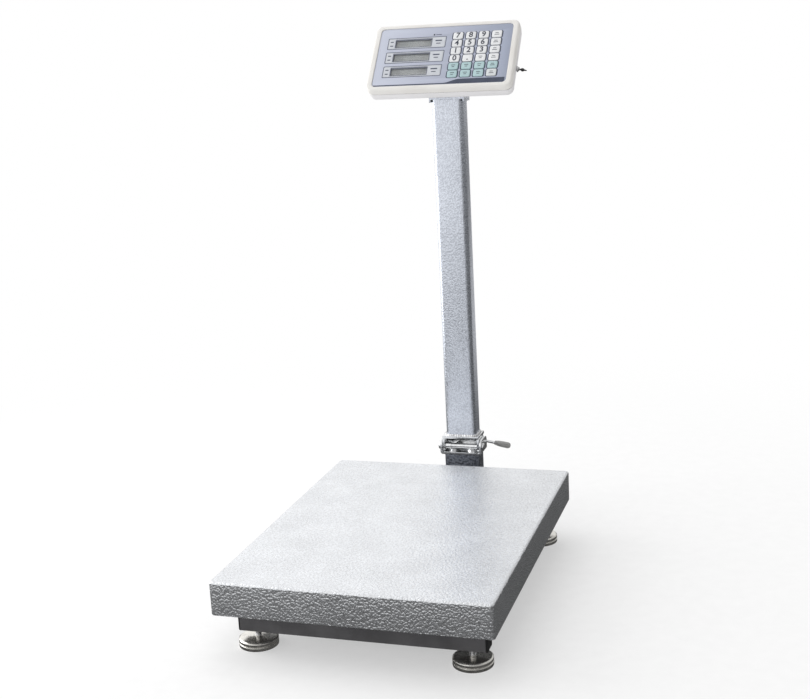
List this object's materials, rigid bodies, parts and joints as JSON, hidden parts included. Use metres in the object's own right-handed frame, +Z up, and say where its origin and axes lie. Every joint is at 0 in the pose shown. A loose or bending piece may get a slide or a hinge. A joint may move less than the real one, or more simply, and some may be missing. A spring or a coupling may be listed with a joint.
{
  "type": "counting scale",
  "caption": "Floor platform scale with a flat lift-off pan on levelling feet, a folding rear post with a clamp lever, and a tilting head with displays and a keypad.",
  "frame": {"origin": "on the floor, in the middle of the scale's footprint box", "axes": "+X to the operator's right, +Y from the operator towards the post, +Z up"},
  "size_m": [0.45, 0.7294, 0.9416],
  "materials": {
    "hammertone": "silver hammertone stoving enamel over sheet steel, slightly glossy",
    "frame_paint": "smooth dark grey paint, satin",
    "chrome": "bright plated steel",
    "steel": "turned and nickel plated steel, satin",
    "aluminium": "machined and clear anodised",
    "rubber": "moulded black rubber, matt",
    "grip_plastic": "moulded grey plastic",
    "case_plastic": "warm off-white ABS, fine moulded texture",
    "face_print": "blue-grey printed plastic sheet, satin",
    "key_white": "moulded pale keys, satin",
    "key_teal": "moulded pale teal keys, satin",
    "clear_plastic": "clear acrylic sheet",
    "display_grey": "grey reflective display glass",
    "board_green": "green lacquered circuit board",
    "black_plastic": "moulded black plastic"
  },
  "bodies": {
    "base": {"front_cross_tube": "frame_paint", "rear_cross_tube": "frame_paint", "base_beam": "frame_paint", "column_arm": "frame_paint", "column_stub": "hammertone", "hinge_lower_bracket": "chrome", "hinge_pin": "chrome", "load_cell": "aluminium", "top_spine": "frame_paint", "top_arm_front": "frame_paint", "top_arm_rear": "frame_paint", "pan_cushion_front_left": "rubber", "pan_cushion_front_right": "rubber", "pan_cushion_rear_left": "rubber", "pan_cushion_rear_right": "rubber"},
    "pan": {"pan": "hammertone"},
    "foot_front_left": {"foot_front_left": "steel"},
    "foot_front_right": {"foot_front_right": "steel"},
    "foot_rear_left": {"foot_rear_left": "steel"},
    "foot_rear_right": {"foot_rear_right": "steel"},
    "post": {"hinge_upper_bracket": "chrome", "post_tube": "hammertone", "head_bracket": "frame_paint", "head_pivot_bolt": "steel"},
    "clamp": {"clamp_lever": "chrome", "lever_grip": "grip_plastic"},
    "head": {"head_front_case": "case_plastic", "head_rear_case": "case_plastic", "face_plate": "face_print", "display_window": "clear_plastic", "lcd_module": "display_grey", "main_board": "board_green", "battery": "black_plastic", "power_switch": "steel", "power_inlet": "black_plastic"},
    "switch": {"switch_lever": "black_plastic"},
    "key_r1c1": {"key_r1c1": "key_white"},
    "key_r1c2": {"key_r1c2": "key_white"},
    "key_r1c3": {"key_r1c3": "key_white"},
    "key_r1c4": {"key_r1c4": "key_white"},
    "key_r2c1": {"key_r2c1": "key_white"},
    "key_r2c2": {"key_r2c2": "key_white"},
    "key_r2c3": {"key_r2c3": "key_white"},
    "key_r2c4": {"key_r2c4": "key_white"},
    "key_r3c1": {"key_r3c1": "key_white"},
    "key_r3c2": {"key_r3c2": "key_white"},
    "key_r3c3": {"key_r3c3": "key_white"},
    "key_r3c4": {"key_r3c4": "key_white"},
    "key_r4c1": {"key_r4c1": "key_white"},
    "key_r4c2": {"key_r4c2": "key_white"},
    "key_r4c3": {"key_r4c3": "key_white"},
    "key_r4c4": {"key_r4c4": "key_white"},
    "key_r5c1": {"key_r5c1": "key_teal"},
    "key_r5c2": {"key_r5c2": "key_teal"},
    "key_r5c3": {"key_r5c3": "key_teal"},
    "key_r5c4": {"key_r5c4": "key_teal"},
    "key_r6c1": {"key_r6c1": "key_teal"},
    "key_r6c2": {"key_r6c2": "key_teal"},
    "key_r6c3": {"key_r6c3": "key_teal"},
    "key_r6c4": {"key_r6c4": "key_white"}
  },
  "joints": [
    {"name": "post_fold", "type": "hinge", "parent": "base", "child": "post", "pos_m": [0, 0.31331, 0.139], "axis": [1, 0, 0], "range_deg": [0, 82]},
    {"name": "head_tilt", "type": "hinge", "parent": "post", "child": "head", "pos_m": [0, 0.32731, 0.841], "axis": [1, 0, 0], "range_deg": [-15, 15]},
    {"name": "clamp_turn", "type": "hinge", "parent": "base", "child": "clamp", "pos_m": [0.024, 0.35, 0.139], "axis": [0, 1, 0], "range_deg": [-20, 180]},
    {"name": "pan_lift", "type": "slide", "parent": "base", "child": "pan", "axis": [0, 0, -1], "range_m": [-0.12, 0]},
    {"name": "power_toggle", "type": "hinge", "parent": "head", "child": "switch", "pos_m": [0.139, 0.2954, 0.85524], "axis": [0, -0.766, 0.6428], "range_deg": [0, 40]},
    {"name": "foot_front_left_level", "type": "slide", "parent": "base", "child": "foot_front_left", "axis": [0, 0, 1], "range_m": [-0.01, 0.008]},
    {"name": "foot_front_right_level", "type": "slide", "parent": "base", "child": "foot_front_right", "axis": [0, 0, 1], "range_m": [-0.01, 0.008]},
    {"name": "foot_rear_left_level", "type": "slide", "parent": "base", "child": "foot_rear_left", "axis": [0, 0, 1], "range_m": [-0.01, 0.008]},
    {"name": "foot_rear_right_level", "type": "slide", "parent": "base", "child": "foot_rear_right", "axis": [0, 0, 1], "range_m": [-0.01, 0.008]},
    {"name": "key_r1c1_press", "type": "slide", "parent": "head", "child": "key_r1c1", "axis": [0, 0.766, -0.6428], "range_m": [0, 0.0012], "stiffness_N_per_m": 700, "springref_m": -0.0006},
    {"name": "key_r1c2_press", "type": "slide", "parent": "head", "child": "key_r1c2", "axis": [0, 0.766, -0.6428], "range_m": [0, 0.0012], "stiffness_N_per_m": 700, "springref_m": -0.0006},
    {"name": "key_r1c3_press", "type": "slide", "parent": "head", "child": "key_r1c3", "axis": [0, 0.766, -0.6428], "range_m": [0, 0.0012], "stiffness_N_per_m": 700, "springref_m": -0.0006},
    {"name": "key_r1c4_press", "type": "slide", "parent": "head", "child": "key_r1c4", "axis": [0, 0.766, -0.6428], "range_m": [0, 0.0012], "stiffness_N_per_m": 700, "springref_m": -0.0006},
    {"name": "key_r2c1_press", "type": "slide", "parent": "head", "child": "key_r2c1", "axis": [0, 0.766, -0.6428], "range_m": [0, 0.0012], "stiffness_N_per_m": 700, "springref_m": -0.0006},
    {"name": "key_r2c2_press", "type": "slide", "parent": "head", "child": "key_r2c2", "axis": [0, 0.766, -0.6428], "range_m": [0, 0.0012], "stiffness_N_per_m": 700, "springref_m": -0.0006},
    {"name": "key_r2c3_press", "type": "slide", "parent": "head", "child": "key_r2c3", "axis": [0, 0.766, -0.6428], "range_m": [0, 0.0012], "stiffness_N_per_m": 700, "springref_m": -0.0006},
    {"name": "key_r2c4_press", "type": "slide", "parent": "head", "child": "key_r2c4", "axis": [0, 0.766, -0.6428], "range_m": [0, 0.0012], "stiffness_N_per_m": 700, "springref_m": -0.0006},
    {"name": "key_r3c1_press", "type": "slide", "parent": "head", "child": "key_r3c1", "axis": [0, 0.766, -0.6428], "range_m": [0, 0.0012], "stiffness_N_per_m": 700, "springref_m": -0.0006},
    {"name": "key_r3c2_press", "type": "slide", "parent": "head", "child": "key_r3c2", "axis": [0, 0.766, -0.6428], "range_m": [0, 0.0012], "stiffness_N_per_m": 700, "springref_m": -0.0006},
    {"name": "key_r3c3_press", "type": "slide", "parent": "head", "child": "key_r3c3", "axis": [0, 0.766, -0.6428], "range_m": [0, 0.0012], "stiffness_N_per_m": 700, "springref_m": -0.0006},
    {"name": "key_r3c4_press", "type": "slide", "parent": "head", "child": "key_r3c4", "axis": [0, 0.766, -0.6428], "range_m": [0, 0.0012], "stiffness_N_per_m": 700, "springref_m": -0.0006},
    {"name": "key_r4c1_press", "type": "slide", "parent": "head", "child": "key_r4c1", "axis": [0, 0.766, -0.6428], "range_m": [0, 0.0012], "stiffness_N_per_m": 700, "springref_m": -0.0006},
    {"name": "key_r4c2_press", "type": "slide", "parent": "head", "child": "key_r4c2", "axis": [0, 0.766, -0.6428], "range_m": [0, 0.0012], "stiffness_N_per_m": 700, "springref_m": -0.0006},
    {"name": "key_r4c3_press", "type": "slide", "parent": "head", "child": "key_r4c3", "axis": [0, 0.766, -0.6428], "range_m": [0, 0.0012], "stiffness_N_per_m": 700, "springref_m": -0.0006},
    {"name": "key_r4c4_press", "type": "slide", "parent": "head", "child": "key_r4c4", "axis": [0, 0.766, -0.6428], "range_m": [0, 0.0012], "stiffness_N_per_m": 700, "springref_m": -0.0006},
    {"name": "key_r5c1_press", "type": "slide", "parent": "head", "child": "key_r5c1", "axis": [0, 0.766, -0.6428], "range_m": [0, 0.0012], "stiffness_N_per_m": 700, "springref_m": -0.0006},
    {"name": "key_r5c2_press", "type": "slide", "parent": "head", "child": "key_r5c2", "axis": [0, 0.766, -0.6428], "range_m": [0, 0.0012], "stiffness_N_per_m": 700, "springref_m": -0.0006},
    {"name": "key_r5c3_press", "type": "slide", "parent": "head", "child": "key_r5c3", "axis": [0, 0.766, -0.6428], "range_m": [0, 0.0012], "stiffness_N_per_m": 700, "springref_m": -0.0006},
    {"name": "key_r5c4_press", "type": "slide", "parent": "head", "child": "key_r5c4", "axis": [0, 0.766, -0.6428], "range_m": [0, 0.0012], "stiffness_N_per_m": 700, "springref_m": -0.0006},
    {"name": "key_r6c1_press", "type": "slide", "parent": "head", "child": "key_r6c1", "axis": [0, 0.766, -0.6428], "range_m": [0, 0.0012], "stiffness_N_per_m": 700, "springref_m": -0.0006},
    {"name": "key_r6c2_press", "type": "slide", "parent": "head", "child": "key_r6c2", "axis": [0, 0.766, -0.6428], "range_m": [0, 0.0012], "stiffness_N_per_m": 700, "springref_m": -0.0006},
    {"name": "key_r6c3_press", "type": "slide", "parent": "head", "child": "key_r6c3", "axis": [0, 0.766, -0.6428], "range_m": [0, 0.0012], "stiffness_N_per_m": 700, "springref_m": -0.0006},
    {"name": "key_r6c4_press", "type": "slide", "parent": "head", "child": "key_r6c4", "axis": [0, 0.766, -0.6428], "range_m": [0, 0.0012], "stiffness_N_per_m": 700, "springref_m": -0.0006}
  ]
}
